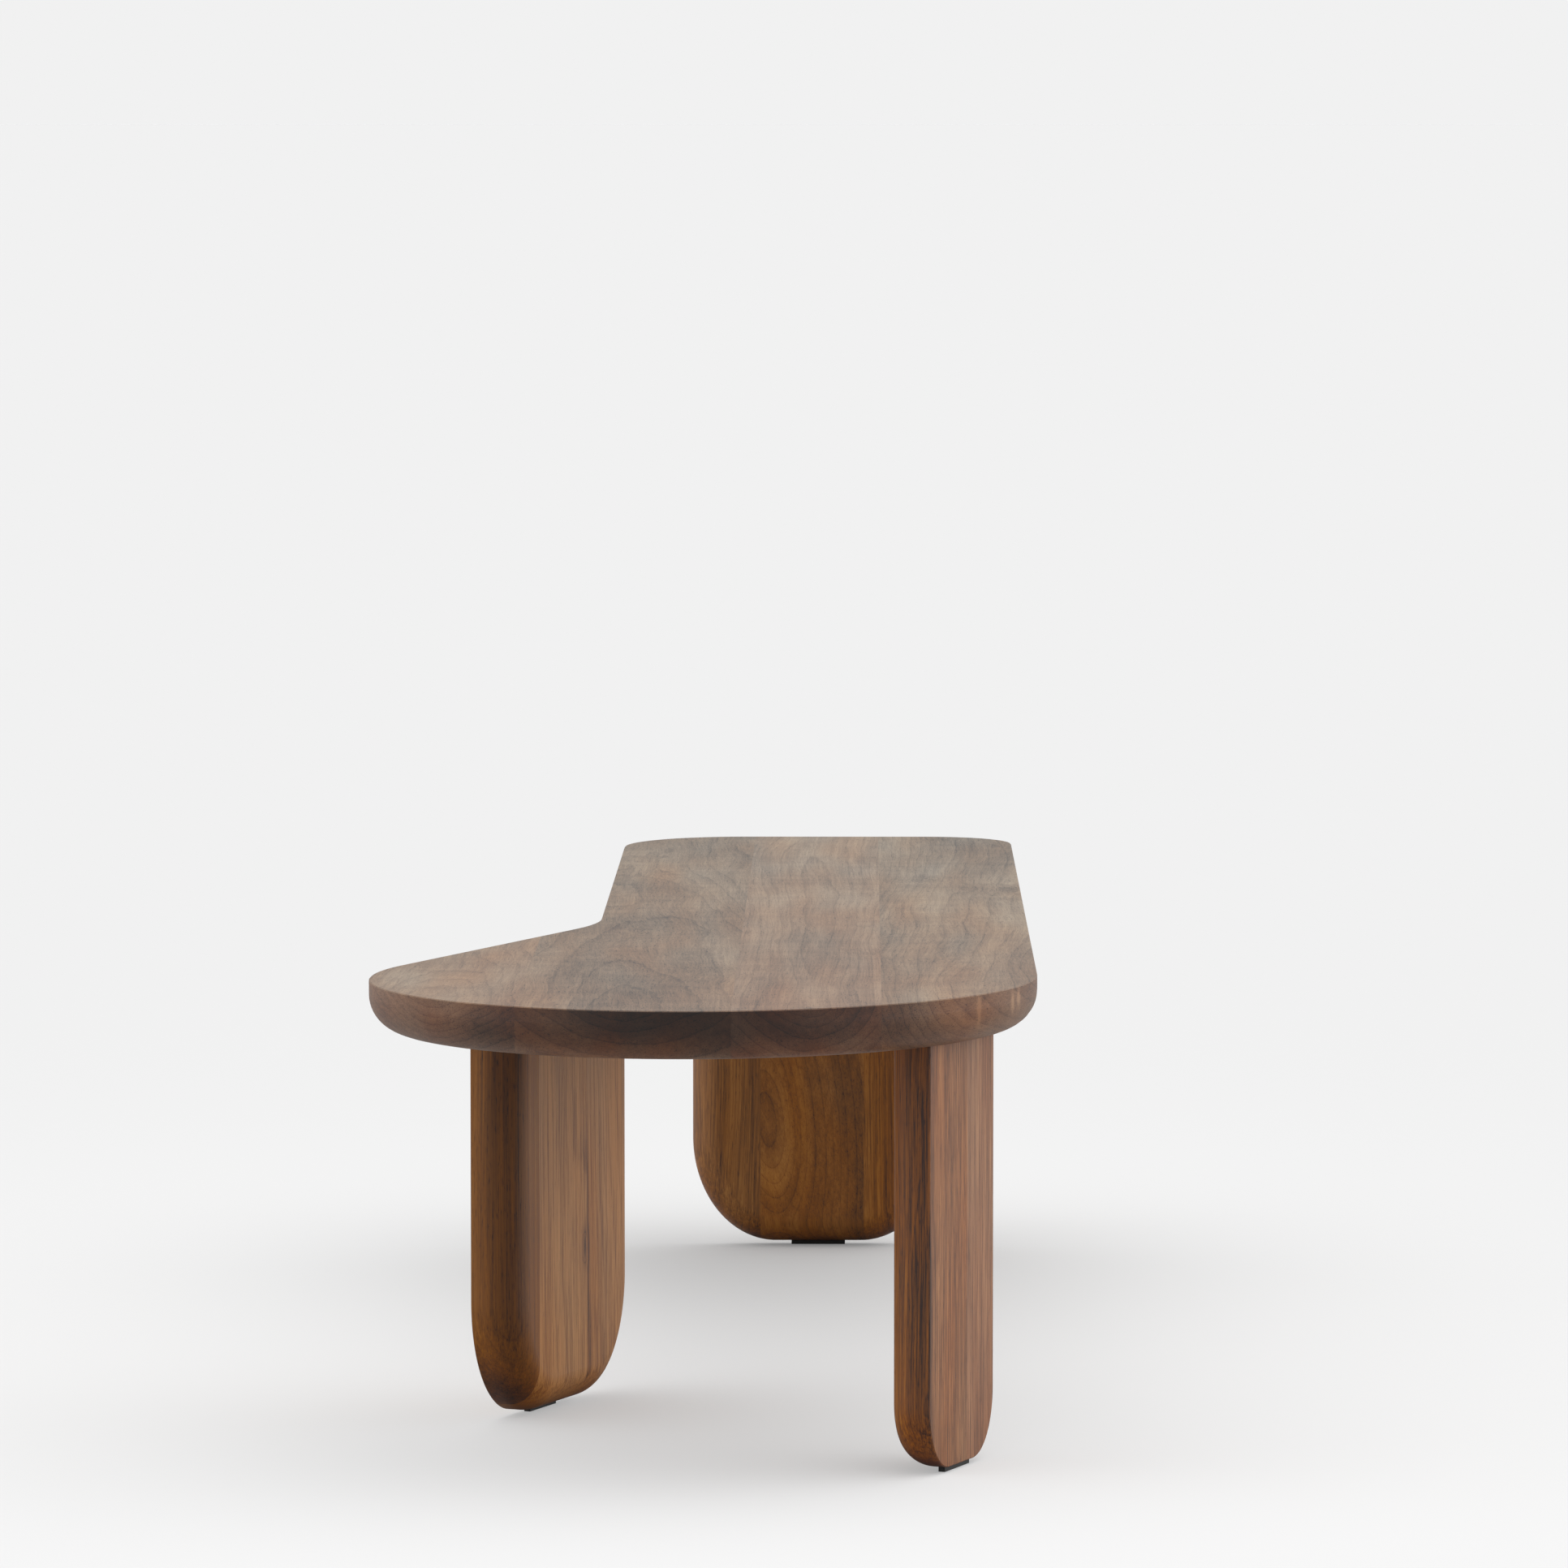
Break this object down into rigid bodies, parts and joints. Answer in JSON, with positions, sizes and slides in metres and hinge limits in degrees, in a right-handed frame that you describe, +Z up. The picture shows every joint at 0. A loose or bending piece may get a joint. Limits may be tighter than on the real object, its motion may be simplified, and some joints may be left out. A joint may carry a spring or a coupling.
{
  "type": "slab-leg bench",
  "caption": "Low solid-wood bench with a freeform top: wide rounded end, slanted side, narrow far end, on slab legs with U-shaped feet and thin glides.",
  "frame": {"origin": "on the floor, under the middle of the top's bounding box", "axes": "+Y from the wide rounded end to the narrow far end, +X to the right when looking along +Y, +Z up"},
  "size_m": [0.5581, 1.6499, 0.4],
  "materials": {
    "walnut_top": "oiled walnut, satin",
    "walnut_legs": "oiled walnut, satin",
    "beech_tongues": "planed beech",
    "black_steel_plate": "black powder coat",
    "zinc_steel_fixings": "zinc plated",
    "brass_inserts": "plain brass",
    "black_glides": "moulded, matt"
  },
  "bodies": {
    "root": {"back_bolts": "zinc_steel_fixings", "back_glide": "black_glides", "back_glide_pins": "zinc_steel_fixings", "back_inserts": "brass_inserts", "back_leg_screws": "zinc_steel_fixings", "back_leg_stave_left": "walnut_legs", "back_leg_stave_middle": "walnut_legs", "back_leg_stave_right": "walnut_legs", "back_leg_tongues": "beech_tongues", "back_plate": "black_steel_plate", "left_bolts": "zinc_steel_fixings", "left_glide": "black_glides", "left_glide_pins": "zinc_steel_fixings", "left_inserts": "brass_inserts", "left_leg_screws": "zinc_steel_fixings", "left_leg_stave_far": "walnut_legs", "left_leg_stave_middle": "walnut_legs", "left_leg_stave_near": "walnut_legs", "left_leg_tongues": "beech_tongues", "left_plate": "black_steel_plate", "right_bolts": "zinc_steel_fixings", "right_glide": "black_glides", "right_glide_pins": "zinc_steel_fixings", "right_inserts": "brass_inserts", "right_leg_screws": "zinc_steel_fixings", "right_leg_stave_far": "walnut_legs", "right_leg_stave_near": "walnut_legs", "right_leg_tongues": "beech_tongues", "right_plate": "black_steel_plate", "top_stave_centre_left": "walnut_top", "top_stave_centre_right": "walnut_top", "top_stave_left": "walnut_top", "top_stave_right": "walnut_top", "top_tongue_centre": "beech_tongues", "top_tongue_left": "beech_tongues", "top_tongue_right": "beech_tongues"}
  },
  "joints": []
}
